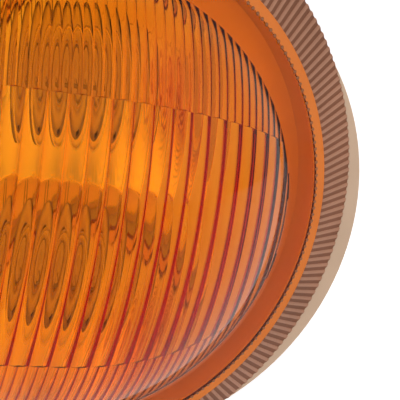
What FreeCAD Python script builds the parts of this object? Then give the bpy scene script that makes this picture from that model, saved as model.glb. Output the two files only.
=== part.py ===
import FreeCAD, Part
import math
import os

V = FreeCAD.Vector

# A corner light: fluted amber lens, housing, twin reflector and two bulbs in twist-lock holders
# Built round the lamp's axis along Y, front towards -Y, with the lens's face edge in the plane y = 0
# All sizes in millimetres, angles in degrees

# Lens face: round nose on the right, straight edge on the left
face_radius = 56.0
left_reach = 62.0
corner_radius = 18.0
lens_wall = 2.8
side_wall = 2.0

# Dome of the lens: a ball at the nose, a cylinder to the left, and a smooth margin round it
dome_radius = 60.0
dome_height = 25.0
margin_slope = 18.0
margin_fillet = 5.0

# Flutes inside the dome: coarse ones in the middle band, fine ones above and below
coarse_pitch = 3.9
coarse_depth = 0.6
fine_pitch = 1.95
fine_depth = 0.2
band_top = 25.0
band_bottom = -25.0
band_land = 0.6
flute_limit = 62.0
flute_inset = 9.5

# Sloping rim of the lens and the tongue behind it
rim_flare = 8.9
rim_depth = 6.2
rim_rib_pitch = 1.65
rim_rib_width = 0.8
rim_rib_height = 0.25
rim_rib_root = 0.3
rim_rib_start = 1.4
tongue_inner = 2.2
tongue_step = 0.2
tongue_thickness = 2.2
tongue_length = 5.2

# Housing: rim with a groove for the tongue, lip at the nose, tray floor
seat_gap = 0.2
flange_inset = 0.4
flange_thickness = 3.0
lip_width = 3.6
lip_shift = 13.0
lip_angle = -6.0
rim_wall_grow = 6.0
tray_grow = 0.8
tray_depth = 5.8
tray_floor = 3.8
groove_clearance = 0.3
seal_depth = 2.0

# Reflector: two dishes, one above the other, in a flat plate
bulb_rise = 21.5
plate_inset = 2.2
plate_thickness = 1.8
dish_radius = 30.0
focal_length = 14.0
bulb_hole = 15.5
bowl_gap = 2.5
bowl_wall = 2.6
bowl_side_gap = 2.5

# Ports at the back of the housing, for the bulb holders
tower_radius = 22.0
tower_wall = 3.0
port_plate = 3.0
port_setback = 1.6
barrel_radius = 14.0
port_clearance = 0.3
lug_reach = 3.2
lug_angle = 18.0
lug_height = 2.0
lug_gap = 0.3
unlock_angle = 45.0
lug_count = 3

# Bulbs
glass_radius = 12.5
glass_wall = 0.8
glass_nose = 1.5
neck_radius = 6.9
cap_radius = 7.5
cap_wall = 0.45
cap_length = 16.5
neck_seat = 3.5
neck_clearance = 0.1
insulator_length = 2.0
contact_radius = 2.5
contact_length = 1.8
pin_radius = 1.0
pin_reach = 1.3
pin_setback = 11.5
filament_span = 5.0
filament_radius = 0.45
lead_radius = 0.3
stem_radius = 3.0

# Bulb holders
sleeve_clearance = 0.25
sleeve_wall = 1.0
sleeve_length = 13.5
holder_clearance = 0.15
holder_seal_gap = 0.1
holder_seal_thickness = 1.1
holder_seal_inner = 15.0
holder_seal_inset = 1.0
holder_flange_radius = 20.5
holder_flange_thickness = 2.8
grip_radius = 12.0
holder_floor = 3.6
wing_reach = 17.0
wing_thickness = 4.4
spring_radius = 6.0
spring_thickness = 0.6
shroud_width = 18.0
shroud_height = 14.0
shroud_wall = 2.0
shroud_length = 16.0
shroud_floor = 3.0
blade_width = 2.8
blade_thickness = 0.8
blade_spread = 6.0
blade_short = 3.0
blade_clearance = 0.1

# Fixing lug, locating pegs, screws, vent and gasket
lug_distance = 80.0
lug_end_radius = 11.0
lug_root_half = 17.0
lug_setback = 2.0
lug_thickness = 4.0
fixing_radius = 3.3
bush_wall = 1.7
bush_clearance = 0.1
gusset_thickness = 2.4
gusset_spread = 9.0
peg_circle = 57.4
peg_angle = 38.0
peg_radius = 2.4
peg_collar = 0.4
peg_length = 18.0
peg_chamfer = 1.2
screw_inset = 15.0
screw_z = 41.0
screw_radius = 1.4
screw_length = 9.0
screw_head_radius = 3.2
screw_head_height = 2.0
screw_clearance = 0.3
boss_wall = 2.7
boss_length = 6.0
vent_inset = 16.0
vent_radius = 3.0
vent_bore = 1.6
vent_length = 9.0
vent_cap_wall = 1.6
vent_cap_length = 8.0
vent_gap = 0.1
filter_length = 3.0
gasket_outer = 5.6
gasket_bowl_gap = 0.5
gasket_thickness = 3.0
gasket_clearance = 0.3
rib_thickness = 2.4
rib_reach = 29.0
rib_count = 3
rib_spread = 60.0

# Levels along Y that follow from the sizes above
housing_front = rim_depth + seat_gap
tongue_end = rim_depth + tongue_length
groove_end = tongue_end + seal_depth
tray_level = housing_front + tray_depth
housing_back = tray_level + tray_floor
screw_x = screw_inset - left_reach
vent_x = vent_inset - left_reach
vent_tube_end = housing_back + vent_length
plate_front = tray_level - plate_thickness
dish_vertex = plate_front + dish_radius ** 2 / (4 * focal_length)
bowl_vertex = dish_vertex + plate_thickness + bowl_gap
bowl_mouth = dish_radius + bowl_side_gap
port_inner = dish_vertex + port_setback
port_outer = port_inner + port_plate
focus = dish_vertex - focal_length
lug_front = housing_front + lug_setback
lug_back = lug_front + lug_thickness
ball_centre = dome_radius - dome_height
cap_front = focus + glass_radius
cap_back = cap_front + cap_length
insulator_back = cap_back + insulator_length
contact_back = insulator_back + contact_length
pin_level = cap_front + pin_setback
sleeve_inner = cap_radius + sleeve_clearance
sleeve_outer = sleeve_inner + sleeve_wall
sleeve_front = cap_back - sleeve_length
holder_seal_front = port_outer + holder_seal_gap
flange_front = holder_seal_front + holder_seal_thickness
flange_back = flange_front + holder_flange_thickness
bore_end = contact_back + spring_thickness
grip_end = bore_end + holder_floor
shroud_end = grip_end + shroud_length
socket_floor = grip_end + shroud_floor
barrel_front = port_inner - lug_gap - lug_height

AXIS = V(0, 1, 0)
origin = V(-lug_distance, lug_back, 0)


def outline(grow, y):
    """The face's outline, moved outward by grow, in the plane at y."""
    nose = face_radius + grow
    corner = corner_radius + grow
    left = left_reach + grow
    cx = corner_radius - left_reach
    cz = face_radius - corner_radius
    mid = corner * math.sqrt(0.5)
    edges = [
        Part.Arc(V(0, y, nose), V(nose, y, 0), V(0, y, -nose)).toShape(),
        Part.makeLine(V(0, y, -nose), V(cx, y, -nose)),
        Part.Arc(V(cx, y, -nose), V(cx - mid, y, -cz - mid), V(-left, y, -cz)).toShape(),
        Part.makeLine(V(-left, y, -cz), V(-left, y, cz)),
        Part.Arc(V(-left, y, cz), V(cx - mid, y, cz + mid), V(cx, y, nose)).toShape(),
        Part.makeLine(V(cx, y, nose), V(0, y, nose)),
    ]
    return Part.Wire(edges)


def slab(grow, y0, y1):
    """A plate with the face's outline, from y0 to y1."""
    return Part.Face(outline(grow, y0)).extrude(V(0, y1 - y0, 0))


def ring(grow_out, grow_in, y0, y1):
    """A band that follows the outline."""
    return slab(grow_out, y0, y1).cut(slab(grow_in, y0, y1))


def flared(grow0, y0, grow1, y1):
    """A plate whose edge slopes from one outline to another."""
    return Part.makeLoft([outline(grow0, y0), outline(grow1, y1)], True, True)


def rod(radius, y0, y1, x=0.0, z=0.0):
    """A round bar along the lamp's axis."""
    return Part.makeCylinder(radius, y1 - y0, V(x, y0, z), AXIS)


def tube(outer, inner, y0, y1, x=0.0, z=0.0):
    """A round sleeve along the lamp's axis."""
    return rod(outer, y0, y1, x, z).cut(rod(inner, y0, y1, x, z))


def block(width, height, y0, y1):
    """A square-edged bar along the lamp's axis."""
    return Part.makeBox(width, y1 - y0, height, V(-width / 2, y0, -height / 2))


def turned(edges, angle=360.0):
    """A solid turned about the lamp's axis from edges in the plane x = 0."""
    return Part.Face(Part.Wire(edges)).revolve(V(0, 0, 0), AXIS, angle)


def at(r, y):
    """A point of a turned profile."""
    return V(0, y, r)


def lines(*points):
    """Straight edges through the points."""
    return [Part.makeLine(a, b) for a, b in zip(points, points[1:])]


def parabola(vertex, r0, r1):
    """The edge y = vertex - r^2 / (4 f) from r0 to r1, exact as a curve of the second degree."""
    level = [vertex - r0 * r0 / (4 * focal_length), vertex - r0 * r1 / (4 * focal_length)]
    level.append(vertex - r1 * r1 / (4 * focal_length))
    curve = Part.BezierCurve()
    curve.setPoles([at(r0, level[0]), at((r0 + r1) / 2, level[1]), at(r1, level[2])])
    return curve.toShape()


def fuse(shapes):
    """One solid from several that touch."""
    return shapes[0].fuse(shapes[1:]).removeSplitter()


def raised(shape, rise):
    """A copy moved up."""
    copy = shape.copy()
    copy.translate(V(0, 0, rise))
    return copy


def both(shape):
    """Copies at the two bulbs."""
    return [raised(shape, bulb_rise), raised(shape, -bulb_rise)]


def save(name, shape, rise=0.0):
    """Writes one piece, moved so that the fixing hole's back end is the origin."""
    moved = raised(shape, rise)
    moved.translate(origin * -1)
    moved.exportStep("parts/" + name + ".step")


def dome_half(shift):
    """Half section of the dome and margin, moved back by shift, in the plane x = 0."""
    slope = math.radians(margin_slope)
    along = V(0, math.sin(slope), math.cos(slope))
    front = V(0, -math.cos(slope), math.sin(slope))
    ball = V(0, ball_centre + shift, 0)
    edge = at(face_radius, shift)
    # The fillet's centre lies one fillet radius in front of the margin and outside the ball
    foot = edge + front * margin_fillet - ball
    half_b = foot.dot(along)
    reach = dome_radius + margin_fillet
    step = -half_b - math.sqrt(half_b ** 2 - foot.dot(foot) + reach ** 2)
    if ball.add(foot + along * step).z < 0:
        step = -half_b + math.sqrt(half_b ** 2 - foot.dot(foot) + reach ** 2)
    centre = ball + foot + along * step
    on_ball = ball + (centre - ball) * (dome_radius / reach)
    on_margin = edge + along * step
    bisector = (on_ball - centre).normalize() + (on_margin - centre).normalize()
    fillet_mid = centre + bisector.normalize() * margin_fillet
    apex = V(0, ball.y - dome_radius, 0)
    half_angle = math.atan2(on_ball.z, ball.y - on_ball.y) / 2
    ball_mid = V(0, ball.y - dome_radius * math.cos(half_angle), dome_radius * math.sin(half_angle))
    edges = [
        Part.Arc(apex, ball_mid, on_ball).toShape(),
        Part.Arc(on_ball, fillet_mid, on_margin).toShape(),
    ]
    edges += lines(on_margin, edge, V(0, shift, 0), apex)
    return Part.Face(Part.Wire(edges))


def dome(shift):
    """The filled dome: turned at the nose and drawn straight to the left."""
    half = dome_half(shift)
    nose = half.revolve(V(0, 0, 0), AXIS, 180)
    upper = half.extrude(V(-left_reach, 0, 0))
    lower = upper.mirror(V(0, 0, 0), V(0, 0, 1))
    return fuse([nose, upper, lower])


def ball_section(x):
    """Radius of the dome about the line that its flutes turn round."""
    return math.sqrt(dome_radius ** 2 - max(x, 0.0) ** 2)


def flutes(pitch, depth, low, high, phase):
    """Hollow flutes side by side, cut into the back of the dome between two angles."""
    centre = ball_centre + lens_wall
    first = phase - int((left_reach - flute_inset) / pitch) - 1
    last = phase + int((face_radius - flute_inset) / pitch) + 1
    edges = []
    for i in range(round(last - first)):
        x0 = (first + i) * pitch
        x1 = x0 + pitch
        xm = (x0 + x1) / 2
        a = V(x0, centre - ball_section(x0), 0)
        m = V(xm, centre - ball_section(xm) - depth, 0)
        b = V(x1, centre - ball_section(x1), 0)
        edges.append(Part.Arc(a, m, b).toShape())
    start = V(first * pitch, centre - ball_section(first * pitch), 0)
    end = V(last * pitch, centre - ball_section(last * pitch), 0)
    inside = V(first * pitch, start.y + lens_wall, 0)
    edges += lines(end, inside, start)
    section = Part.Face(Part.Wire(edges))
    section.rotate(V(0, centre, 0), V(1, 0, 0), -high)
    return section.revolve(V(0, centre, 0), V(1, 0, 0), high - low)


def rim_rib():
    """One cross rib of the rim, standing on its slope, with the outward way along +X."""
    length = math.hypot(rim_flare, rim_depth)
    along = V(rim_flare / length, rim_depth / length, 0)
    out = V(rim_depth / length, -rim_flare / length, 0)
    side = V(0, 0, -rim_rib_width / 2)
    start = along * rim_rib_start + side
    end = along * length + out * rim_rib_height + side
    # The root ends in the plane of the rim's back
    root_end = along * ((rim_depth + out.y * rim_rib_root) / along.y) - out * rim_rib_root + side
    points = [
        start - out * rim_rib_root,
        start,
        start + along * rim_rib_height + out * rim_rib_height,
        end,
        V(end.x, rim_depth, end.z),
        root_end,
    ]
    face = Part.Face(Part.makePolygon(points + points[:1]))
    return face.extrude(side * -2)


def rim_ribs():
    """Ribs side by side all round the rim."""
    rib = rim_rib()
    ribs = []

    def place(angle, x, z):
        copy = rib.copy()
        copy.rotate(V(0, 0, 0), AXIS, -angle)
        copy.translate(V(x, 0, z))
        ribs.append(copy)

    def arc(radius, start, sweep, x, z):
        count = round(math.radians(sweep) * (radius + rim_flare / 2) / rim_rib_pitch)
        for i in range(count):
            angle = start - sweep * (i + 0.5) / count
            a = math.radians(angle)
            place(angle, x + radius * math.cos(a), z + radius * math.sin(a))

    def line(angle, start, end):
        count = round((end - start).Length / rim_rib_pitch)
        for i in range(count):
            spot = start + (end - start) * ((i + 0.5) / count)
            place(angle, spot.x, spot.z)

    cx = corner_radius - left_reach
    cz = face_radius - corner_radius
    arc(face_radius, 90, 180, 0, 0)
    line(-90, V(0, 0, -face_radius), V(cx, 0, -face_radius))
    arc(corner_radius, -90, 90, cx, -cz)
    line(180, V(-left_reach, 0, -cz), V(-left_reach, 0, cz))
    arc(corner_radius, 180, 90, cx, cz)
    line(90, V(cx, 0, face_radius), V(0, 0, face_radius))
    return ribs


def make_lens():
    face = dome(0).common(slab(0, -dome_height - 1, 0))
    shell = face.fuse(flared(0, 0, rim_flare, rim_depth))
    hollow = dome(lens_wall).common(slab(-side_wall, -dome_height, lens_wall))
    back = flared(-side_wall, lens_wall, tongue_inner - tongue_step, rim_depth)
    shell = shell.cut(hollow).cut(back)
    zone = slab(-flute_inset, -dome_height, 0)
    bands = [
        (coarse_pitch, coarse_depth, band_bottom, band_top, -0.5),
        (fine_pitch, fine_depth, band_top + band_land, flute_limit, 0.0),
        (fine_pitch, fine_depth, -flute_limit, band_bottom - band_land, 0.0),
    ]
    for pitch, depth, low, high, phase in bands:
        shell = shell.cut(flutes(pitch, depth, low, high, phase).common(zone))
    tongue = ring(tongue_inner + tongue_thickness, tongue_inner, rim_depth, tongue_end)
    return shell.fuse([tongue] + rim_ribs())


def make_lens_seal():
    inner = tongue_inner - groove_clearance
    outer = tongue_inner + tongue_thickness + groove_clearance
    return ring(outer, inner, tongue_end, groove_end)


def bowl(vertex, mouth, root, front, back):
    """A filled bowl with a parabola for its wall and a round tower behind it."""
    edge_y = vertex - mouth ** 2 / (4 * focal_length)
    root_y = vertex - root ** 2 / (4 * focal_length)
    edges = lines(at(0, back), at(0, front), at(mouth, front), at(mouth, edge_y))
    edges.append(parabola(vertex, mouth, root))
    edges += lines(at(root, root_y), at(root, back), at(0, back))
    return turned(edges)


def lug_plate(y0, y1):
    """The fixing lug: straight root at the rim, round end."""
    root_x = -left_reach
    dx = lug_distance - left_reach
    # The lug's sides touch the round end where its radius meets them at right angles
    touch = math.atan2(lug_root_half, dx) + math.acos(lug_end_radius / math.hypot(dx, lug_root_half))
    tx = -lug_distance + lug_end_radius * math.cos(touch)
    tz = lug_end_radius * math.sin(touch)
    end = -lug_distance - lug_end_radius
    edges = lines(V(tx, y0, -tz), V(root_x, y0, -lug_root_half), V(root_x, y0, lug_root_half), V(tx, y0, tz))
    edges.append(Part.Arc(V(tx, y0, tz), V(end, y0, 0), V(tx, y0, -tz)).toShape())
    return Part.Face(Part.Wire(edges)).extrude(V(0, y1 - y0, 0))


def turn(shape, angle):
    """A copy turned about the lamp's axis."""
    copy = shape.copy()
    copy.rotate(V(0, 0, 0), AXIS, angle)
    return copy


def peg_places():
    a = math.radians(peg_angle)
    return [(peg_circle * math.cos(a), s * peg_circle * math.sin(a)) for s in (1, -1)]


def make_housing():
    lip = math.radians(lip_angle)
    lip_radius = face_radius + rim_flare + lip_width - lip_shift
    flange_back_y = housing_front + flange_thickness
    bowl_outer = bowl_vertex + bowl_wall
    mouth_outer = bowl_mouth + bowl_wall
    solids = [
        slab(rim_wall_grow, housing_front, housing_back),
        slab(rim_flare - flange_inset, housing_front, flange_back_y),
        rod(lip_radius, housing_front, flange_back_y,
            lip_shift * math.cos(lip), lip_shift * math.sin(lip)),
        lug_plate(lug_front, lug_back),
        rod(vent_radius, tray_level, vent_tube_end, vent_x, 0),
    ]
    solids += both(bowl(bowl_outer, mouth_outer, tower_radius, tray_level, port_outer))
    for side in (1, -1):
        z = side * gusset_spread - gusset_thickness / 2
        foot = -left_reach - rim_wall_grow
        web = Part.makePolygon([
            V(foot, lug_back, z), V(foot - tray_floor, lug_back, z),
            V(foot, housing_back, z), V(foot, lug_back, z)])
        solids.append(Part.Face(web).extrude(V(0, 0, gusset_thickness)))
        boss_end = housing_back + boss_length
        solids.append(rod(screw_radius + boss_wall, tray_level, boss_end, screw_x, side * screw_z))
    for x, z in peg_places():
        shank_end = housing_back + peg_length - peg_chamfer
        collar_end = housing_back + gasket_thickness
        solids.append(rod(peg_radius + peg_collar, housing_back - tray_floor / 2, collar_end, x, z))
        solids.append(rod(peg_radius, collar_end, shank_end, x, z))
        tip = V(x, shank_end, z)
        solids.append(Part.makeCone(peg_radius, peg_radius - peg_chamfer, peg_chamfer, tip, AXIS))
    rib = [at(tower_radius - 1, port_outer - port_plate), at(tower_radius - 1, port_outer)]
    rib_y = bowl_outer - rib_reach ** 2 / (4 * focal_length)
    rib += [at(tower_radius, port_outer), at(rib_reach, rib_y)]
    rib += [at(rib_reach - bowl_wall, rib_y - bowl_wall / 2), rib[0]]
    web = Part.Face(Part.makePolygon(rib)).extrude(V(rib_thickness, 0, 0))
    web.translate(V(-rib_thickness / 2, 0, 0))
    for i in range(rib_count):
        angle = rib_spread * (i - (rib_count - 1) / 2)
        solids.append(raised(turn(web, angle), bulb_rise))
        solids.append(raised(turn(web, angle + 180), -bulb_rise))
    body = solids[0].fuse(solids[1:])
    tools = [
        slab(tray_grow, housing_front, tray_level),
        ring(tongue_inner + tongue_thickness + groove_clearance, tongue_inner - groove_clearance,
             housing_front, groove_end),
        rod(fixing_radius + bush_wall + bush_clearance, lug_front - 1, lug_back + 1, -lug_distance, 0),
        rod(vent_bore, tray_level - 1, vent_tube_end + 1, vent_x, 0),
    ]
    tools += both(bowl(bowl_vertex, bowl_mouth, tower_radius - tower_wall, housing_front, port_inner))
    tools += both(rod(barrel_radius + port_clearance, port_inner - 1, port_outer + 1))
    for i in range(lug_count):
        notch = lug_sector(port_inner - 1, port_outer + 1, port_clearance)
        tools += both(turn(notch, 360.0 * i / lug_count + unlock_angle))
    for side in (1, -1):
        tools.append(rod(screw_radius + screw_clearance / 2, tray_level - 1, plate_front + screw_length + 1,
                         screw_x, side * screw_z))
    return body.cut(tools)


def lug_sector(y0, y1, clearance):
    """One locking lug of the holder, or with a clearance the notch that it passes."""
    outer = barrel_radius + lug_reach + clearance
    half = barrel_radius * math.sin(math.radians(lug_angle / 2)) + clearance
    block = Part.makeBox(2 * half, y1 - y0, outer, V(-half, y0, 0))
    return block.common(rod(outer, y0, y1))


def filled_dish(vertex, front):
    """The space inside a dish, up to the plane at front."""
    rim_y = vertex - dish_radius ** 2 / (4 * focal_length)
    edges = lines(at(0, vertex), at(0, front), at(dish_radius, front), at(dish_radius, rim_y))
    edges.append(parabola(vertex, dish_radius, 0.0))
    return turned(edges)


def make_reflector():
    plate = slab(-plate_inset, plate_front, tray_level)
    shells = both(filled_dish(dish_vertex + plate_thickness, plate_front))
    tools = both(filled_dish(dish_vertex, plate_front - 1))
    tools += both(rod(bulb_hole, plate_front - 1, dish_vertex + plate_thickness + 1))
    hole = screw_radius + screw_clearance
    for side in (1, -1):
        tools.append(rod(hole, plate_front - 1, tray_level + 1, screw_x, side * screw_z))
    return plate.fuse(shells).cut(tools)


def make_reflector_screws():
    screws = []
    for side in (1, -1):
        z = side * screw_z
        head = rod(screw_head_radius, plate_front - screw_head_height, plate_front, screw_x, z)
        shank = rod(screw_radius, plate_front, plate_front + screw_length, screw_x, z)
        screws.append(head.fuse(shank))
    return Part.makeCompound(screws)


def glass_profile(wall):
    """Edges of the bulb's glass, moved inward by the wall, from its tip to its neck."""
    r = glass_radius - wall
    neck = neck_radius - wall
    centre = focus - glass_nose
    mid = r * math.sqrt(0.5)
    tip = Part.Arc(at(0, centre - r), at(mid, centre - mid), at(r, centre)).toShape()
    flank = Part.BezierCurve()
    belly = at(r, centre + r * 0.6)
    throat = at(neck, cap_front - r * 0.4)
    flank.setPoles([at(r, centre), belly, throat, at(neck, cap_front)])
    return [tip, flank.toShape()] + lines(at(neck, cap_front), at(neck, cap_front + neck_seat))


def make_bulb_glass():
    end = cap_front + neck_seat
    centre = focus - glass_nose
    solids = []
    for wall in (0.0, glass_wall):
        edges = glass_profile(wall)
        edges += lines(at(neck_radius - wall, end), at(0, end), at(0, centre - glass_radius + wall))
        solids.append(turned(edges))
    return solids[0].cut(solids[1])


def make_bulb_stem():
    foot = cap_front + neck_seat / 2
    disc = rod(neck_radius - glass_wall, foot, cap_front + neck_seat)
    cone = Part.makeCone(stem_radius, stem_radius / 2, neck_seat * 2, V(0, foot, 0), V(0, -1, 0))
    return disc.fuse(cone)


def make_filament():
    return Part.makeCylinder(filament_radius, filament_span, V(-filament_span / 2, focus, 0), V(1, 0, 0))


def make_filament_leads():
    leads = []
    stem_tip = cap_front - neck_seat * 1.5
    for side in (1, -1):
        foot = V(side * stem_radius / 4, stem_tip, 0)
        top = V(side * filament_span / 2, focus, 0)
        start = foot - V(0, lead_radius / 2, 0)
        length = (top - start).Length - filament_radius - lead_radius / 2
        leads.append(Part.makeCylinder(lead_radius, length, start, top - start))
    return Part.makeCompound(leads)


def make_bulb_cap():
    return tube(cap_radius, neck_radius + neck_clearance, cap_front, cap_front + neck_seat).fuse(
        tube(cap_radius, cap_radius - cap_wall, cap_front + neck_seat, cap_back)).removeSplitter()


def make_bulb_pins():
    inner = cap_radius
    pins = [Part.makeCylinder(pin_radius, pin_reach, V(s * inner, pin_level, 0), V(s, 0, 0)) for s in (1, -1)]
    return Part.makeCompound(pins)


def make_bulb_insulator():
    return rod(cap_radius - cap_wall, cap_back - insulator_length, cap_back).fuse(
        Part.makeCone(cap_radius - cap_wall, contact_radius, insulator_length, V(0, cap_back, 0), AXIS))


def make_bulb_contact():
    return rod(contact_radius, insulator_back, contact_back)


def make_holder():
    bore = sleeve_outer + holder_clearance
    parts = [
        rod(barrel_radius, barrel_front, flange_front),
        rod(holder_flange_radius, flange_front, flange_back),
        rod(grip_radius, flange_back, grip_end),
        block(wing_reach * 2, wing_thickness, flange_back, grip_end),
        block(shroud_width, shroud_height, grip_end, shroud_end),
    ]
    for i in range(lug_count):
        parts.append(turn(lug_sector(barrel_front, barrel_front + lug_height, 0.0), 360.0 * i / lug_count))
    body = parts[0].fuse(parts[1:]).removeSplitter()
    inner_width = shroud_width - 2 * shroud_wall
    inner_height = shroud_height - 2 * shroud_wall
    tools = [
        rod(bore, barrel_front - 1, bore_end),
        block(inner_width, inner_height, socket_floor, shroud_end + 1),
    ]
    for blade in blades(blade_clearance):
        tools.append(blade)
    return body.cut(tools)


def blades(clearance):
    """The two flat pins of the socket, or with a clearance the slots that hold them."""
    out = []
    for side in (1, -1):
        width = blade_width + 2 * clearance
        height = blade_thickness + 2 * clearance
        blade = block(width, height, bore_end, shroud_end - blade_short)
        blade.translate(V(side * blade_spread / 2, 0, 0))
        out.append(blade)
    return out


def make_holder_seal():
    return tube(holder_flange_radius - holder_seal_inset, holder_seal_inner, holder_seal_front, flange_front)


def make_holder_sleeve():
    sleeve = tube(sleeve_outer, sleeve_inner, sleeve_front, bore_end)
    half = pin_radius + sleeve_clearance
    slot = Part.makeBox(2 * sleeve_outer + 2, pin_level + half - sleeve_front, 2 * half,
                        V(-sleeve_outer - 1, sleeve_front, -half))
    return sleeve.cut(slot)


def make_contact_spring():
    return rod(spring_radius, contact_back, bore_end)


def make_terminals():
    return Part.makeCompound(blades(0.0))


def make_vent_cap():
    inner = vent_radius + vent_gap
    outer = inner + vent_cap_wall
    end = vent_tube_end + vent_cap_wall
    cup = rod(outer, end - vent_cap_length, end, vent_x, 0)
    return cup.cut(rod(inner, end - vent_cap_length, vent_tube_end, vent_x, 0))


def make_vent_filter():
    return rod(vent_bore - vent_gap, vent_tube_end - filter_length, vent_tube_end, vent_x, 0)


def make_body_gasket():
    bowl_outer = math.sqrt(4 * focal_length * (bowl_vertex + bowl_wall - housing_back))
    inner = bulb_rise + bowl_outer + gasket_bowl_gap - face_radius
    gasket = ring(gasket_outer, inner, housing_back, housing_back + gasket_thickness)
    back = housing_back + gasket_thickness
    hole = peg_radius + peg_collar + gasket_clearance
    holes = [rod(hole, housing_back, back, x, z) for x, z in peg_places()]
    return gasket.cut(holes)


def make_lug_bush():
    return tube(fixing_radius + bush_wall, fixing_radius, lug_front, lug_back, -lug_distance, 0)


lamp_pieces = {
    "lens": make_lens,
    "lens_seal": make_lens_seal,
    "housing": make_housing,
    "reflector": make_reflector,
    "reflector_screws": make_reflector_screws,
    "vent_cap": make_vent_cap,
    "vent_filter": make_vent_filter,
    "body_gasket": make_body_gasket,
    "lug_bush": make_lug_bush,
}
bulb_pieces = {
    "bulb_glass": make_bulb_glass,
    "bulb_stem": make_bulb_stem,
    "filament": make_filament,
    "filament_leads": make_filament_leads,
    "bulb_cap": make_bulb_cap,
    "bulb_pins": make_bulb_pins,
    "bulb_insulator": make_bulb_insulator,
    "bulb_contact": make_bulb_contact,
    "bulb_holder": make_holder,
    "holder_seal": make_holder_seal,
    "holder_sleeve": make_holder_sleeve,
    "contact_spring": make_contact_spring,
    "terminals": make_terminals,
}

os.makedirs("parts", exist_ok=True)
for name, make in lamp_pieces.items():
    save(name, make())
for name, make in bulb_pieces.items():
    shape = make()
    save(name, shape, -bulb_rise)
    save("upper_" + name, shape, bulb_rise)
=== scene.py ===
import math

import bmesh
import bpy
import numpy as np
from mathutils import Matrix, Vector


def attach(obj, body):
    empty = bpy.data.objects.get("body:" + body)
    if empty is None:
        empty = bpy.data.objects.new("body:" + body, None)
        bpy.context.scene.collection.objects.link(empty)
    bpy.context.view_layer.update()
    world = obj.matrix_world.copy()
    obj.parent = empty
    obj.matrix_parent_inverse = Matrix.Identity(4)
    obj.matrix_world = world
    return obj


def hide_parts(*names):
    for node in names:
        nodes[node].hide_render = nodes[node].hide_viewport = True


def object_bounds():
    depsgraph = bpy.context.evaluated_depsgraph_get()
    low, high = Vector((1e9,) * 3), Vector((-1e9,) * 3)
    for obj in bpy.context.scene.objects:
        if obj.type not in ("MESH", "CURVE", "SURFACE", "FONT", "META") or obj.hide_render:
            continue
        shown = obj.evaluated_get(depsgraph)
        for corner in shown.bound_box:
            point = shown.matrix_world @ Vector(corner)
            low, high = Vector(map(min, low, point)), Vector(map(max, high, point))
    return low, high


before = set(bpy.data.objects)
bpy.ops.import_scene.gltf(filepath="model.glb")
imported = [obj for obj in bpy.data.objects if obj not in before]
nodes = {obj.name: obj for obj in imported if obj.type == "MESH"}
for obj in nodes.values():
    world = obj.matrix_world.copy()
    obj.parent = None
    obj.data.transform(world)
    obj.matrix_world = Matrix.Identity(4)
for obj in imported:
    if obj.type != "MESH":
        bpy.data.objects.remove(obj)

cad_low, cad_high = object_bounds()
scene = bpy.context.scene

# Lamp millimetres start on the lamp's axis at the face edge; the part's origin is the fixing hole
LAMP_ORIGIN = np.array([80.0, -12.4, 0.0])
MM_PER_M = 1000.0
TOLERANCE = 1e-6

# Sizes of the lens and of the housing's tray, in millimetres
FACE_R = 56.0
LEFT_REACH = 62.0
CORNER_R = 18.0
WALL = 2.8
SIDE_WALL = 2.0
DOME_R = 60.0
DOME_H = 25.0
MARGIN_SLOPE = math.radians(18.0)
FILLET_R = 5.0
FLUTE_PITCH = 3.9
FLUTE_DEPTH = 0.6
FINE_PITCH = 1.95
FINE_DEPTH = 0.2
BAND_ANGLE = math.radians(25.3)
FLUTE_INSET = 9.5
RIM_FLARE = 8.9
RIM_Y = 6.2
TONGUE_IN = 2.2
TONGUE_OUT = 4.4
TONGUE_END = 11.4
BACK_IN = 2.0
TRAY_GROW = 0.8
TRAY_Y = 12.2
BALL_Y = DOME_R - DOME_H
CORNER_X = CORNER_R - LEFT_REACH
CORNER_Z = FACE_R - CORNER_R

# Face edge, ribs and beads, in millimetres
EDGE_W = 1.9
EDGE_ROUND = 0.4
EDGE_H = 0.12
RIB_PITCH = 1.65
RIB_H = 0.22
BEAD_R = 0.42
BEAD_H = 0.22
BEAD_SINK = 0.03

# Places along one rib's pitch and the rise there, both as shares, and how many of them are on its top
RIB_MARKS = [(0.0, 0), (0.12, 0), (0.26, 1), (0.56, 1), (0.86, 0)]
MARKS_ON_TOP = 2
# Share of the rim's width in which a rib rises, and the rows of points after that
RIB_START = 0.06
RIM_SHARES = (0.4, 0.6, 0.8, 0.99, 1.0)
# Radius and height of each row of a bead, as shares
BEAD_ROWS = [(1.0, 0.0), (0.92, 0.4), (0.7, 0.75), (0.38, 0.95), (0.0, 1.0)]

# How finely the lens is divided
NOSE_STEPS = 180
LEFT_STEPS = 16
DOME_STEPS = 20
SHOULDER_STEPS = 8
FILLET_STEPS = 6
MARGIN_STEPS = 4
FACE_EDGE_STEPS = 2
MARGIN_ROWS = 12
EDGE_ROWS = 6
RIB_ROWS = 4
BEAD_SIDES = 12
FLUTE_STEPS = 12
TIP_DEGREES = 14
BAND_ROWS = 40
FINE_ROWS = 18

# Points closer than this in metres are joined, and edges sharper than this in degrees stay sharp
BUILT_MERGE = 2e-6
BUILT_SHARP = 25.0
CAD_MERGE = 1e-6
CAD_SHARP = 30.0

# Finishes of the lens, in the order of its material slots; the last is painted shade on the ribs
CLEAR, BACKING, EDGE, RIM, PAINTED_RIB_SHADE = range(5)

# Ways that patches of the lens face
FRONT = (0, -1, 0)
REAR = (0, 1, 0)
RIM_OUT = 0.6
RIM_FRONT = -0.8


def to_frame(points):
    """Lamp millimetres to the part's frame in metres."""
    return (np.asarray(points, float) + LAMP_ORIGIN) / MM_PER_M


def spaced(a, b, n):
    return np.linspace(a, b, n + 1)


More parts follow.
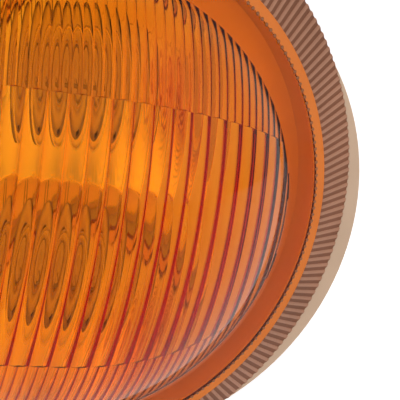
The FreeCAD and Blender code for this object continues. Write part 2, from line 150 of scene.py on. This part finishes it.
def dome_profile():
    """Where the dome's ball meets its fillet, and the fillet the margin."""
    along = np.array([math.sin(MARGIN_SLOPE), math.cos(MARGIN_SLOPE)])
    front = np.array([-math.cos(MARGIN_SLOPE), math.sin(MARGIN_SLOPE)])
    ball = np.array([BALL_Y, 0.0])
    edge = np.array([0.0, FACE_R])
    foot = edge + front * FILLET_R - ball
    half_b = foot @ along
    reach = DOME_R + FILLET_R
    root = math.sqrt(half_b ** 2 - foot @ foot + reach ** 2)
    step = -half_b - root
    if (ball + foot + along * step)[1] < 0:
        step = -half_b + root
    centre = ball + foot + along * step
    on_ball = ball + (centre - ball) * (DOME_R / reach)
    on_margin = edge + along * step
    return centre, on_ball, on_margin


FILLET_C, ON_BALL, ON_MARGIN = dome_profile()


def profile(rho):
    """Height y of the dome's outside at a distance from its crest."""
    rho = np.asarray(rho, float)
    ball = BALL_Y - np.sqrt(np.maximum(DOME_R ** 2 - rho ** 2, 0.0))
    inside = np.maximum(FILLET_R ** 2 - (rho - FILLET_C[1]) ** 2, 0.0)
    fillet = FILLET_C[0] + np.sqrt(inside)
    margin = -(FACE_R - rho) * math.tan(MARGIN_SLOPE)
    return np.where(rho < ON_BALL[1], ball, np.where(rho < ON_MARGIN[1], fillet, margin))


def crest_distance(x, z):
    """Distance from the dome's crest: a point at the nose, a line to the left of it."""
    return np.where(x > 0, np.hypot(x, z), np.abs(z))


def weld_and_smooth(mesh, merge, sharp):
    """Joins points that meet and shades the mesh smooth, apart from its sharp edges."""
    bm = bmesh.new()
    bm.from_mesh(mesh)
    bmesh.ops.remove_doubles(bm, verts=bm.verts, dist=merge)
    bm.to_mesh(mesh)
    bm.free()
    mesh.polygons.foreach_set("use_smooth", [True] * len(mesh.polygons))
    mesh.set_sharp_from_angle(angle=math.radians(sharp))
    mesh.update()


class Patches:
    """Collects grids of points as quads, each turned to face a given way."""

    def __init__(self):
        self.points = []
        self.faces = []
        self.finish = []
        self.count = 0

    def grid(self, pts, towards, finish=CLEAR):
        pts = np.asarray(pts, float)
        n, m = pts.shape[:2]
        i, j = np.meshgrid(np.arange(n - 1), np.arange(m - 1), indexing="ij")
        a = i * m + j
        quads = np.stack([a, a + 1, a + m + 1, a + m], -1).reshape(-1, 4)
        flat = pts.reshape(-1, 3)
        d1 = flat[quads[:, 2]] - flat[quads[:, 0]]
        d2 = flat[quads[:, 3]] - flat[quads[:, 1]]
        normal = np.cross(d1, d2)
        want = np.broadcast_to(np.asarray(towards, float), pts.shape).reshape(-1, 3)
        if (normal * want[quads[:, 0]]).sum() < 0:
            quads = quads[:, ::-1]
        self.points.append(flat)
        self.faces.append(quads + self.count)
        self.finish.append(np.broadcast_to(finish, (n - 1, m - 1)).reshape(-1))
        self.count += len(flat)

    def mesh(self, name):
        points = to_frame(np.concatenate(self.points))
        quads = np.concatenate(self.faces)
        finish = np.concatenate(self.finish).astype(np.int32)
        mesh = bpy.data.meshes.new(name)
        mesh.from_pydata(points.tolist(), [], quads.tolist())
        mesh.polygons.foreach_set("material_index", finish)
        weld_and_smooth(mesh, BUILT_MERGE, BUILT_SHARP)
        return mesh


# Distances from the crest at which the front has a row of points
RHO = np.unique(np.round(np.concatenate([
    spaced(0, CORNER_Z, DOME_STEPS),
    spaced(CORNER_Z, ON_BALL[1], SHOULDER_STEPS),
    spaced(ON_BALL[1], ON_MARGIN[1], FILLET_STEPS),
    spaced(ON_MARGIN[1], FACE_R - EDGE_W, MARGIN_STEPS),
    spaced(FACE_R - EDGE_W, FACE_R, FACE_EDGE_STEPS),
]), 6))
NOSE_TURN = np.radians(spaced(90, -90, NOSE_STEPS))
LEFT_SHARES = spaced(0, 1, LEFT_STEPS)


def left_end(z):
    """How far the outline reaches to the left at a height."""
    over = np.maximum(np.abs(z) - CORNER_Z, 0.0)
    return CORNER_X - np.sqrt(np.maximum(CORNER_R ** 2 - over ** 2, 0.0))


def stations():
    """Points and outward normals round the face's outline, from the top of the nose, clockwise."""
    out = []
    for a in NOSE_TURN:
        c, s = math.cos(a), math.sin(a)
        out.append((FACE_R * c, FACE_R * s, c, s))
    for t in LEFT_SHARES[1:]:
        out.append((CORNER_X * t, -FACE_R, 0.0, -1.0))
    high = RHO[RHO > CORNER_Z - TOLERANCE]
    low = RHO[RHO <= CORNER_Z + TOLERANCE]
    for z in high[::-1][1:]:
        x = float(left_end(z))
        out.append((x, -z, (x - CORNER_X) / CORNER_R, -(z - CORNER_Z) / CORNER_R))
    for z in np.concatenate([-low[::-1][1:], low[1:]]):
        out.append((-LEFT_REACH, z, -1.0, 0.0))
    for z in high[1:]:
        x = float(left_end(z))
        out.append((x, z, (x - CORNER_X) / CORNER_R, (z - CORNER_Z) / CORNER_R))
    for t in LEFT_SHARES[::-1][1:]:
        out.append((CORNER_X * t, FACE_R, 0.0, 1.0))
    return np.array(out)


RING = stations()


def ring_row(grow, y, ring=RING):
    """One row of points that follows the outline."""
    grow = np.broadcast_to(grow, len(ring))
    y = np.broadcast_to(y, len(ring))
    return np.stack([ring[:, 0] + ring[:, 2] * grow, y, ring[:, 1] + ring[:, 3] * grow], -1)


def ring_facing(out, back, ring=RING):
    """Directions round the outline, outwards and to the back by the given shares."""
    return np.stack([ring[:, 2] * out, np.full(len(ring), float(back)), ring[:, 3] * out], -1)


def band(patches, rows, out, back, ring=RING, finish=CLEAR):
    """A strip between rows that follow the outline."""
    pts = np.stack([ring_row(g, y, ring) for g, y in rows])
    patches.grid(pts, np.broadcast_to(ring_facing(out, back, ring), pts.shape), finish)


def lens_front(patches):
    """Outside of the dome: turned at the nose, straight to the left, with an end wall."""
    r, t = np.meshgrid(RHO, NOSE_TURN, indexing="ij")
    finish = np.where(RHO[:-1] < FACE_R - EDGE_W - TOLERANCE, CLEAR, EDGE)[:, None]
    patches.grid(np.stack([r * np.cos(t), profile(r), r * np.sin(t)], -1), FRONT, finish)
    for side in (1, -1):
        z, t = np.meshgrid(side * RHO, LEFT_SHARES, indexing="ij")
        x = left_end(z) * t
        patches.grid(np.stack([x, profile(np.abs(z)), z], -1), FRONT, finish)
    end = RING[RING[:, 0] <= CORNER_X + TOLERANCE]
    band(patches, [(0.0, profile(np.abs(end[:, 1]))), (0.0, 0.0)], 1, 0, end)


def nose_run(u):
    """Point and normal at a share of the way round the nose."""
    s, c = math.sin(math.pi * u), math.cos(math.pi * u)
    return FACE_R * s, FACE_R * c, s, c


def corner_run(centre_z, start):
    """The same for a corner at the left, from a start angle."""
    def place(u):
        a = start - math.pi / 2 * u
        c, s = math.cos(a), math.sin(a)
        return CORNER_X + CORNER_R * c, centre_z + CORNER_R * s, c, s
    return place


def rib_ring():
    """Stations with the rib's rise at each, closer together than the plain ones."""
    middle = RIM_FLARE / 2
    nose_ribs = round(math.pi * (FACE_R + middle) / RIB_PITCH)
    side_ribs = round(-CORNER_X / RIB_PITCH)
    corner_ribs = round(math.pi / 2 * (CORNER_R + middle) / RIB_PITCH)
    end_ribs = round(2 * CORNER_Z / RIB_PITCH)
    runs = [
        (nose_ribs, nose_run),
        (side_ribs, lambda u: (CORNER_X * u, -FACE_R, 0.0, -1.0)),
        (corner_ribs, corner_run(-CORNER_Z, -math.pi / 2)),
        (end_ribs, lambda u: (-LEFT_REACH, -CORNER_Z + 2 * CORNER_Z * u, -1.0, 0.0)),
        (corner_ribs, corner_run(CORNER_Z, math.pi)),
        (side_ribs, lambda u: (CORNER_X * (1 - u), FACE_R, 0.0, 1.0)),
    ]
    ring, rise = [], []
    for count, place in runs:
        for k in range(count):
            for u, h in RIB_MARKS:
                ring.append(place((k + u) / count))
                rise.append(h)
    ring.append(ring[0])
    rise.append(rise[0])
    return np.array(ring), np.array(rise, float)


def lens_rim(patches):
    """Rounded face edge, sloping rim with cross ribs, its outer end and its back."""
    ring, rise = rib_ring()
    length = math.hypot(RIM_FLARE, RIM_Y)
    og, oy = RIM_Y / length, -RIM_FLARE / length
    edge = EDGE_ROUND / length
    steps = []
    for u in spaced(0, 1, EDGE_ROWS):
        steps.append((edge * u, 0.0, EDGE_H * math.sin(math.pi * u)))
    for a in spaced(0, math.pi / 2, RIB_ROWS)[1:]:
        steps.append((edge + RIB_START * (1 - math.cos(a)), math.sin(a), 0.0))
    for t in RIM_SHARES:
        steps.append((t, 1.0, 0.0))
    table = []
    for t, rib, lift in steps:
        h = rise * rib * RIB_H + lift
        table.append((RIM_FLARE * t + og * h, RIM_Y * t + oy * h))
    band(patches, table[:EDGE_ROWS + 1], RIM_OUT, RIM_FRONT, ring, EDGE)
    # Painted shade: the falling side of each rib and the gaps between ribs get a darker copy of the rim's
    # finish
    falls = rise[:-1] > rise[1:]
    between = rise[:-1] + rise[1:] == 0
    finish = np.where(falls | between, PAINTED_RIB_SHADE, RIM)[None, :]
    band(patches, table[EDGE_ROWS:], RIM_OUT, RIM_FRONT, ring, finish)
    end_g, end_y = table[-1]
    band(patches, [(end_g, end_y), (end_g, RIM_Y)], 1, 0, ring, RIM)
    band(patches, [(end_g, RIM_Y), (TONGUE_OUT, RIM_Y)], 0, 1, ring)


def edge_beads():
    """Low beads in a row inside the face edge, one to each rib."""
    ring, rise = rib_ring()
    tops = ring[:-1][rise[:-1] > 0][::MARKS_ON_TOP]
    turns = np.radians(spaced(0, 360, BEAD_SIDES))
    lean = math.tan(MARGIN_SLOPE)
    patches = Patches()
    for x, z, nx, nz in tops:
        rows = []
        for k, h in BEAD_ROWS:
            out = BEAD_R * k * np.cos(turns) - EDGE_W
            across = BEAD_R * k * np.sin(turns)
            y = out * lean - BEAD_H * h + BEAD_SINK
            rows.append(np.stack([x + nx * out - nz * across, y, z + nz * out + nx * across], -1))
        patches.grid(np.stack(rows), FRONT)
    return patches


def lens_back(patches):
    """Tongue, back slope and the smooth margin inside."""
    band(patches, [(TONGUE_OUT, RIM_Y), (TONGUE_OUT, TONGUE_END)], 1, 0)
    band(patches, [(TONGUE_OUT, TONGUE_END), (TONGUE_IN, TONGUE_END)], 0, 1)
    band(patches, [(TONGUE_IN, TONGUE_END), (TONGUE_IN, RIM_Y)], -1, 0)
    band(patches, [(TONGUE_IN, RIM_Y), (BACK_IN, RIM_Y)], 0, 1)
    band(patches, [(BACK_IN, RIM_Y), (-SIDE_WALL, WALL)], -1, 1, RING, BACKING)
    inner = [ring_row(g, 0.0) for g in spaced(-SIDE_WALL, -FLUTE_INSET, MARGIN_ROWS)]
    for p in inner:
        p[:, 1] = profile(crest_distance(p[:, 0], p[:, 2])) + WALL
    band(patches, [(-SIDE_WALL, WALL), (-SIDE_WALL, inner[0][:, 1])], -1, 0, RING, BACKING)
    patches.grid(np.stack(inner), REAR)


def ball_section(x):
    """Radius of the dome about the cross axis: that of the ball at the nose, even to the left."""
    return np.sqrt(DOME_R ** 2 - np.maximum(x, 0.0) ** 2)


def scallop(x, pitch, depth, start=0.0):
    """Radius about the cross axis of flutes side by side."""
    k = np.floor((x - start) / pitch + TOLERANCE)
    x0, x1 = start + k * pitch, start + (k + 1) * pitch
    middle = (x0 + x1) / 2
    r0, r1 = ball_section(x0), ball_section(x1)
    sag = ball_section(middle) + depth - (r0 + r1) / 2
    half = pitch / 2
    radius = (half ** 2 + sag ** 2) / (2 * sag)
    swell = np.sqrt(radius ** 2 - (x - middle) ** 2) - (radius - sag)
    return r0 + (r1 - r0) * (x - x0) / pitch + swell


def zone_half(x):
    """Half height of the fluted zone."""
    nose_r = FACE_R - FLUTE_INSET
    corner_r = CORNER_R - FLUTE_INSET
    nose = np.sqrt(np.maximum(nose_r ** 2 - np.maximum(x, 0.0) ** 2, 0.0))
    over = np.maximum(CORNER_X - x, 0.0)
    corner = CORNER_Z + np.sqrt(np.maximum(corner_r ** 2 - over ** 2, 0.0))
    return np.where(x < CORNER_X, corner, nose)


def flute_columns():
    """Places across the fluted zone, closer together at its tip."""
    right = FACE_R - FLUTE_INSET
    left = FLUTE_INSET - LEFT_REACH
    step = FINE_PITCH / FLUTE_STEPS
    even = np.arange(math.ceil(left / step), math.floor(right / step) + 1) * step
    tip = right * np.cos(np.radians(spaced(0, TIP_DEGREES, TIP_DEGREES)))
    return np.unique(np.round(np.concatenate([[left], even, tip]), 5))


def lens_flutes(patches):
    """Coarse flutes in the middle band, fine ones above and below, and the small walls between them."""
    x = flute_columns()
    reach = zone_half(x)
    coarse = scallop(x, FLUTE_PITCH, FLUTE_DEPTH, FLUTE_PITCH / 2)
    fine = scallop(x, FINE_PITCH, FINE_DEPTH)
    split = np.minimum(coarse * math.sin(BAND_ANGLE), reach)

    def rows(radius, z):
        y = BALL_Y + WALL - np.sqrt(radius[:, None] ** 2 - z ** 2)
        return np.stack([np.broadcast_to(x[:, None], z.shape), y, z], -1)
    middle = rows(coarse, split[:, None] * spaced(-1, 1, BAND_ROWS)[None, :])
    patches.grid(middle, REAR)
    for side in (1, -1):
        share = spaced(0, 1, FINE_ROWS)[None, :]
        z = side * (split[:, None] + (reach - split)[:, None] * share)
        outer = rows(fine, z)
        patches.grid(outer, REAR)
        step_wall = np.stack([rows(coarse, z[:, :1])[:, 0], outer[:, 0]])
        patches.grid(step_wall, (0, 0, -side))
        foot = outer[:, -1].copy()
        foot[:, 1] = profile(crest_distance(x, reach)) + WALL
        patches.grid(np.stack([outer[:, -1], foot]), (0, 0, -side))
    foot = middle[0].copy()
    foot[:, 1] = profile(np.abs(foot[:, 2])) + WALL
    patches.grid(np.stack([middle[0], foot]), (1, 0, 0))


def link(name, mesh, materials, body, slot, *stands_for):
    """A new piece that rides on a body and stands for the nodes it replaces."""
    obj = bpy.data.objects.new(name, mesh)
    scene.collection.objects.link(obj)
    for k, mat in enumerate(materials):
        if k < len(mesh.materials):
            mesh.materials[k] = mat
        else:
            mesh.materials.append(mat)
    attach(obj, body)
    if stands_for:
        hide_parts(*stands_for)
    return obj


# Materials
COLOUR_SCALE = 60.0
COLOUR_DETAIL = 3.0
GRAIN_DETAIL = 2.0
FLOW_SCALE = 25.0
RAMP_START = 0.3
RAMP_END = 0.7
# Scale, depth in metres and strength of the grain of three kinds of surface
MOULDED = {"grain": 2500.0, "depth": 0.00004, "strength": 0.5}
POLISHED = {"grain": 900.0, "depth": 0.00002, "strength": 0.2}
DRAWN = {"grain": 900.0, "depth": 0.00002, "strength": 0.3, "metallic": 1.0}


def new_material(name):
    mat = bpy.data.materials.new(name)
    mat.use_nodes = True
    tree = mat.node_tree
    return mat, tree, tree.nodes["Principled BSDF"]


def set_input(mat, name, value):
    mat.node_tree.nodes["Principled BSDF"].inputs[name].default_value = value


def maths(tree, operation, a, b):
    """A math node fed by sockets or plain numbers."""
    node = tree.nodes.new("ShaderNodeMath")
    node.operation = operation
    for socket, value in zip(node.inputs, (a, b)):
        if isinstance(value, float):
            socket.default_value = value
        else:
            tree.links.new(value, socket)
    return node.outputs[0]


def noise(tree, scale, detail):
    """A noise texture in the object's own metres."""
    coord = tree.nodes.new("ShaderNodeTexCoord")
    tex = tree.nodes.new("ShaderNodeTexNoise")
    tex.inputs["Scale"].default_value = scale
    tex.inputs["Detail"].default_value = detail
    tree.links.new(coord.outputs["Object"], tex.inputs["Vector"])
    return tex


def vary_colour(tree, shader, tex, low, high):
    ramp = tree.nodes.new("ShaderNodeValToRGB")
    start, end = ramp.color_ramp.elements
    start.position = RAMP_START
    start.color = (*low, 1)
    end.position = RAMP_END
    end.color = (*high, 1)
    tree.links.new(tex.outputs["Fac"], ramp.inputs["Fac"])
    tree.links.new(ramp.outputs["Color"], shader.inputs["Base Color"])


def vary_rough(tree, shader, tex, rough):
    span = tree.nodes.new("ShaderNodeMapRange")
    span.inputs["To Min"].default_value = rough[0]
    span.inputs["To Max"].default_value = rough[1]
    tree.links.new(tex.outputs["Fac"], span.inputs["Value"])
    tree.links.new(span.outputs["Result"], shader.inputs["Roughness"])


def bump(tree, shader, tex, strength, distance):
    node = tree.nodes.new("ShaderNodeBump")
    node.inputs["Strength"].default_value = strength
    node.inputs["Distance"].default_value = distance
    tree.links.new(tex.outputs["Fac"], node.inputs["Height"])
    tree.links.new(node.outputs["Normal"], shader.inputs["Normal"])


def surface(name, low, high, rough, grain, depth, strength, metallic=0.0):
    """An opaque finish: slow colour change, fine grain in the bump and the gloss."""
    mat, tree, shader = new_material(name)
    shader.inputs["Metallic"].default_value = metallic
    vary_colour(tree, shader, noise(tree, COLOUR_SCALE, COLOUR_DETAIL), low, high)
    tex = noise(tree, grain, GRAIN_DETAIL)
    vary_rough(tree, shader, tex, rough)
    bump(tree, shader, tex, strength, depth)
    return mat


def clear(name, low, high, ior, rough, transmission=1.0):
    """Clear or cloudy plastic or glass, with faint flow marks."""
    mat, tree, shader = new_material(name)
    shader.inputs["Transmission Weight"].default_value = transmission
    shader.inputs["IOR"].default_value = ior
    tex = noise(tree, FLOW_SCALE, GRAIN_DETAIL)
    vary_colour(tree, shader, tex, low, high)
    vary_rough(tree, shader, tex, rough)
    return mat


def absorb(mat, colour, density):
    """Tint that deepens with the thickness of the plastic."""
    tree = mat.node_tree
    volume = tree.nodes.new("ShaderNodeVolumeAbsorption")
    volume.inputs["Color"].default_value = (*colour, 1)
    volume.inputs["Density"].default_value = density
    tree.links.new(volume.outputs["Volume"], tree.nodes["Material Output"].inputs["Volume"])


PLASTIC_IOR = 1.49
GLASS_IOR = 1.47
AMBER_TINT = (0.978, 0.76, 0.01)
AMBER_DENSITY = 1300.0
AMBER_SHINE = (0.3, 0.27, 0.25, 1)
GLASS_SHINE = (0.25, 0.25, 0.25, 1)
STEM_CLARITY = 0.25
MATT_SHINE = 0.15

# Lens: clear amber, and opaque finishes for its edges, one of them a darker copy of the rim's colour as
# painted shade on the ribs
amber = clear("amber_lens", (0.97, 0.93, 0.86), (1.0, 0.97, 0.92), PLASTIC_IOR, (0.01, 0.03))
absorb(amber, AMBER_TINT, AMBER_DENSITY)
set_input(amber, "Specular Tint", AMBER_SHINE)
backing = surface("amber_backing", (0.84, 0.90, 0.36), (0.90, 0.95, 0.42), (0.35, 0.5),
                  grain=900.0, depth=0.00003, strength=0.3)
edge = surface("amber_edge", (0.74, 0.19, 0.03), (0.84, 0.23, 0.038), (0.25, 0.4), **POLISHED)
rim = surface("amber_rim", (0.42, 0.20, 0.12), (0.50, 0.24, 0.145), (0.4, 0.55), **POLISHED)
# Painted shade: a darker copy of the rim's colour for the ribs' falling sides and the gaps between them
painted_rib_shade = surface("amber_painted_rib_shade", (0.21, 0.08, 0.04), (0.26, 0.10, 0.05), (0.5, 0.65), **POLISHED)
for matt in (edge, rim, painted_rib_shade):
    set_input(matt, "Specular IOR Level", MATT_SHINE)
beads = surface("amber_beads", (0.26, 0.075, 0.012), (0.34, 0.10, 0.016), (0.15, 0.3), **POLISHED)
lens_finish = (amber, backing, edge, rim, painted_rib_shade)

# Glass
glass = clear("bulb_glass", (0.995, 0.995, 0.995), (1.0, 1.0, 1.0), GLASS_IOR, (0.0, 0.01))
set_input(glass, "Specular Tint", GLASS_SHINE)
stem = clear("stem_glass", (0.90, 0.89, 0.86), (0.96, 0.95, 0.92), GLASS_IOR, (0.3, 0.4), STEM_CLARITY)

# Metals
mirror = surface("reflector_metal", (0.93, 0.93, 0.93), (0.96, 0.96, 0.955), (0.03, 0.06),
                 grain=40.0, depth=0.00002, strength=0.05, metallic=1.0)
satin = surface("reflector_satin", (0.90, 0.90, 0.90), (0.94, 0.94, 0.935), (0.5, 0.6),
                metallic=1.0, **POLISHED)
steel = surface("screw_steel", (0.50, 0.50, 0.50), (0.62, 0.62, 0.60), (0.25, 0.4), **DRAWN)
wire = surface("filament_wire", (0.30, 0.30, 0.32), (0.42, 0.42, 0.42), (0.3, 0.45),
               grain=1500.0, depth=0.00002, strength=0.3, metallic=1.0)
brass = surface("brass", (0.62, 0.45, 0.18), (0.74, 0.57, 0.27), (0.25, 0.4),
                grain=700.0, depth=0.00002, strength=0.3, metallic=1.0)
tin = surface("contact_tin", (0.74, 0.74, 0.73), (0.84, 0.84, 0.82), (0.25, 0.4), **DRAWN)

# Plastics, rubber and foam
beige = surface("housing_plastic", (0.62, 0.43, 0.29), (0.69, 0.485, 0.33), (0.42, 0.55), **MOULDED)
lining = surface("housing_lining", (0.88, 0.86, 0.82), (0.93, 0.91, 0.88), (0.45, 0.6), **MOULDED)
pale = surface("holder_plastic", (0.80, 0.77, 0.70), (0.86, 0.83, 0.77), (0.4, 0.5), **MOULDED)
black_gloss = surface("black_insulator", (0.012, 0.012, 0.012), (0.022, 0.021, 0.02), (0.15, 0.25),
                      grain=500.0, depth=0.00002, strength=0.2)
rubber = surface("black_rubber", (0.018, 0.018, 0.018), (0.034, 0.033, 0.032), (0.7, 0.85),
                 grain=1800.0, depth=0.00005, strength=0.6)
sealant = surface("sealant", (0.50, 0.38, 0.25), (0.60, 0.46, 0.31), (0.5, 0.7),
                  grain=400.0, depth=0.0001, strength=0.5)
foam = surface("filter_foam", (0.70, 0.70, 0.67), (0.82, 0.82, 0.80), (0.85, 0.95),
               grain=3000.0, depth=0.0002, strength=1.0)

material_of = {
    "lens": amber, "lens_seal": sealant, "housing": beige, "reflector": mirror, "reflector_screws": steel,
    "bulb_glass": glass, "bulb_stem": stem, "filament": wire, "filament_leads": wire, "bulb_cap": brass,
    "bulb_pins": brass, "bulb_insulator": black_gloss, "bulb_contact": tin, "bulb_holder": pale,
    "holder_seal": rubber, "holder_sleeve": tin, "contact_spring": brass, "terminals": tin,
    "vent_cap": rubber, "vent_filter": foam, "body_gasket": rubber, "lug_bush": brass,
}


def material_for(name):
    """The upper bulb and its holder are made of the same things as the lower."""
    return material_of[name.removeprefix("upper_")]


for name, obj in nodes.items():
    if not obj.material_slots:
        obj.data.materials.append(material_for(name))
    for material_slot in obj.material_slots:
        material_slot.material = material_for(name)


# Pieces made from the nodes
LEVEL_NORMAL = 0.05
FLAT_NORMAL = 0.999
TRAY_SLACK = 0.1


def smoothed(name, new_name, body, slot):
    """A copy of a node with its facets smoothed, which stands for it."""
    mesh = nodes[name].data.copy()
    weld_and_smooth(mesh, CAD_MERGE, CAD_SHARP)
    return link(new_name, mesh, [material_for(name)], body, slot, name)


def face_depth(x, z):
    """How far a point lies inside the face's outline."""
    end = CORNER_R - np.hypot(np.maximum(np.abs(z) - CORNER_Z, 0.0), np.maximum(CORNER_X - x, 0.0))
    nose = FACE_R - crest_distance(x, z)
    return np.where(x < CORNER_X, end, nose)


def second_finish(obj, mat, chosen):
    """Another finish for the faces chosen by their centre, in lamp millimetres, and their normal."""
    mesh = obj.data
    mesh.materials.append(mat)
    centre = np.array([p.center for p in mesh.polygons]) * MM_PER_M - LAMP_ORIGIN
    normal = np.array([p.normal for p in mesh.polygons])
    mesh.polygons.foreach_set("material_index", chosen(centre.T, normal.T).astype(np.int32))


def in_tray(centre, normal):
    """The housing's inside: its tray and the bowls behind the reflector."""
    x, y, z = centre
    upright = np.abs(normal[1]) <= LEVEL_NORMAL
    inward = (normal[1] < -LEVEL_NORMAL) | (upright & (y < TRAY_Y + TRAY_SLACK))
    return inward & (face_depth(x, z) > -TRAY_GROW - TRAY_SLACK)


def flat_plate(centre, normal):
    """The reflector's flat plate round the dishes."""
    return np.abs(normal[1]) > FLAT_NORMAL


patches = Patches()
lens_front(patches)
lens_rim(patches)
lens_back(patches)
lens_flutes(patches)
link("lens_moulding", patches.mesh("lens_moulding"), lens_finish, "lamp", "amber_lens", "lens")
link("lens_beads", edge_beads().mesh("lens_beads"), [beads], "lamp", "amber_lens")
second_finish(smoothed("reflector", "reflector_moulding", "lamp", "reflector_metal"), satin, flat_plate)
second_finish(smoothed("housing", "housing_moulding", "lamp", "housing_plastic"), lining, in_tray)
for prefix, body in (("", "holder"), ("upper_", "upper_holder")):
    smoothed(prefix + "bulb_glass", prefix + "bulb_envelope", body, "bulb_glass")
    smoothed(prefix + "bulb_cap", prefix + "bulb_cap_shell", body, "brass")
    smoothed(prefix + "bulb_holder", prefix + "holder_moulding", body, "holder_plastic")

# Floor: it glows for the camera, and less where it is mirrored or seen through the lamp
FLOOR_HALF = 4.0
FLOOR_GAP = 0.0005
FLOOR_COLOUR = (0.86, 0.84, 0.84, 1)
FLOOR_ROUGH = 0.9
FLOOR_TINT = (1.0, 0.965, 0.965, 1)
FLOOR_GLOW = 0.48
FLOOR_MIRRORED = 0.45
FLOOR_THROUGH = 0.72

floor_mesh = bpy.data.meshes.new("floor")
floor_z = cad_low.z - FLOOR_GAP
floor_corners = [(a * FLOOR_HALF, b * FLOOR_HALF, floor_z) for a, b in ((-1, -1), (1, -1), (1, 1), (-1, 1))]
floor_mesh.from_pydata(floor_corners, [], [(0, 1, 2, 3)])
floor = bpy.data.objects.new("floor", floor_mesh)
scene.collection.objects.link(floor)
floor_mat, tree, shader = new_material("floor")
shader.inputs["Base Color"].default_value = FLOOR_COLOUR
shader.inputs["Roughness"].default_value = FLOOR_ROUGH
shader.inputs["Emission Color"].default_value = FLOOR_TINT
path = tree.nodes.new("ShaderNodeLightPath")
mirrored = maths(tree, "MULTIPLY", path.outputs["Is Glossy Ray"], FLOOR_MIRRORED)
through = maths(tree, "MULTIPLY", path.outputs["Is Transmission Ray"], FLOOR_THROUGH)
indirect = maths(tree, "MAXIMUM", mirrored, through)
seen = maths(tree, "MAXIMUM", indirect, path.outputs["Is Camera Ray"])
tree.links.new(maths(tree, "MULTIPLY", seen, FLOOR_GLOW), shader.inputs["Emission Strength"])
floor_mesh.materials.append(floor_mat)

# Room: an even level with three soft windows, and plain white where the camera looks past the lamp
ROOM_LEVEL = 0.22
CAMERA_LEVEL = 1.0
# Direction of each window, the cosines at which its light starts and is full, and its gain
WINDOWS = [
    ((-0.6, -0.7, 0.4), 0.65, 0.97, 0.95),
    ((0.6, -0.7, 0.4), 0.65, 0.97, 1.0),
    ((0.5, 0.8, 0.35), 0.3, 0.95, 0.7),
]

world = bpy.data.worlds.new("studio")
scene.world = world
world.use_nodes = True
tree = world.node_tree
background = tree.nodes["Background"]
background.inputs["Color"].default_value = (1, 1, 1, 1)
coord = tree.nodes.new("ShaderNodeTexCoord")


def window(direction, start, full, gain):
    """Light that rises towards one direction of the room."""
    dot = tree.nodes.new("ShaderNodeVectorMath")
    dot.operation = "DOT_PRODUCT"
    dot.inputs[1].default_value = Vector(direction).normalized()
    tree.links.new(coord.outputs["Generated"], dot.inputs[0])
    ramp = tree.nodes.new("ShaderNodeMapRange")
    ramp.interpolation_type = "SMOOTHSTEP"
    ramp.inputs["From Min"].default_value = start
    ramp.inputs["From Max"].default_value = full
    ramp.inputs["To Max"].default_value = gain
    tree.links.new(dot.outputs["Value"], ramp.inputs["Value"])
    return ramp.outputs["Result"]


room = window(*WINDOWS[0])
for values in WINDOWS[1:]:
    room = maths(tree, "ADD", room, window(*values))
room = maths(tree, "ADD", room, ROOM_LEVEL)
path = tree.nodes.new("ShaderNodeLightPath")
pick = tree.nodes.new("ShaderNodeMix")
tree.links.new(path.outputs["Is Camera Ray"], pick.inputs["Factor"])
tree.links.new(room, pick.inputs["A"])
pick.inputs["B"].default_value = CAMERA_LEVEL
tree.links.new(pick.outputs["Result"], background.inputs["Strength"])

# Lights: place in metres and power in watts
KEY_PLACE = (-0.9, -0.5, 0.8)
KEY_POWER = 1.0
REAR_PLACE = (-0.5, 0.9, 0.9)
REAR_POWER = 3.0
LIGHT_SIZE = 0.8


def area_light(name, place, power):
    """A square light that aims at the middle of the part."""
    data = bpy.data.lights.new(name, "AREA")
    data.shape = "RECTANGLE"
    data.size = LIGHT_SIZE
    data.size_y = LIGHT_SIZE
    data.energy = power
    obj = bpy.data.objects.new(name, data)
    scene.collection.objects.link(obj)
    obj.location = place
    direction = (cad_low + cad_high) / 2 - Vector(place)
    obj.rotation_euler = direction.to_track_quat("-Z", "Y").to_euler()


area_light("key", KEY_PLACE, KEY_POWER)
area_light("rear", REAR_PLACE, REAR_POWER)

# Camera, as fitted to the face edge in the photograph
AZIMUTH = math.radians(-20.8)
ELEVATION = math.radians(15.5)
ROLL = math.radians(11.2)
TARGET = Vector(to_frame([28.03, 0.0, 4.0]))
DISTANCE = 0.201
FOCAL_PX = 969.0
IMAGE_PX = 400.0
SENSOR_MM = 36.0
CLIP_START = 0.005

level = math.cos(ELEVATION)
back = Vector((math.sin(AZIMUTH) * level, -math.cos(AZIMUTH) * level, math.sin(ELEVATION)))
side = (-back).cross(Vector((0, 0, 1))).normalized()
up = side.cross(-back)
cam_right = side * math.cos(ROLL) + up * math.sin(ROLL)
cam_up = up * math.cos(ROLL) - side * math.sin(ROLL)
cam_data = bpy.data.cameras.new("camera")
cam_data.sensor_width = SENSOR_MM
cam_data.lens = FOCAL_PX / IMAGE_PX * SENSOR_MM
cam_data.clip_start = CLIP_START
camera = bpy.data.objects.new("camera", cam_data)
scene.collection.objects.link(camera)
turn = Matrix((cam_right, cam_up, back)).transposed().to_4x4()
camera.matrix_world = Matrix.Translation(TARGET + back * DISTANCE) @ turn
scene.camera = camera
scene.view_settings.view_transform = "Standard"

# Light passes several walls of plastic and glass on its way in and out
PATH_LIMIT = 32
GLOSSY_LIMIT = 16
scene.cycles.max_bounces = PATH_LIMIT
scene.cycles.transmission_bounces = PATH_LIMIT
scene.cycles.glossy_bounces = GLOSSY_LIMIT
scene.cycles.blur_glossy = 0.0
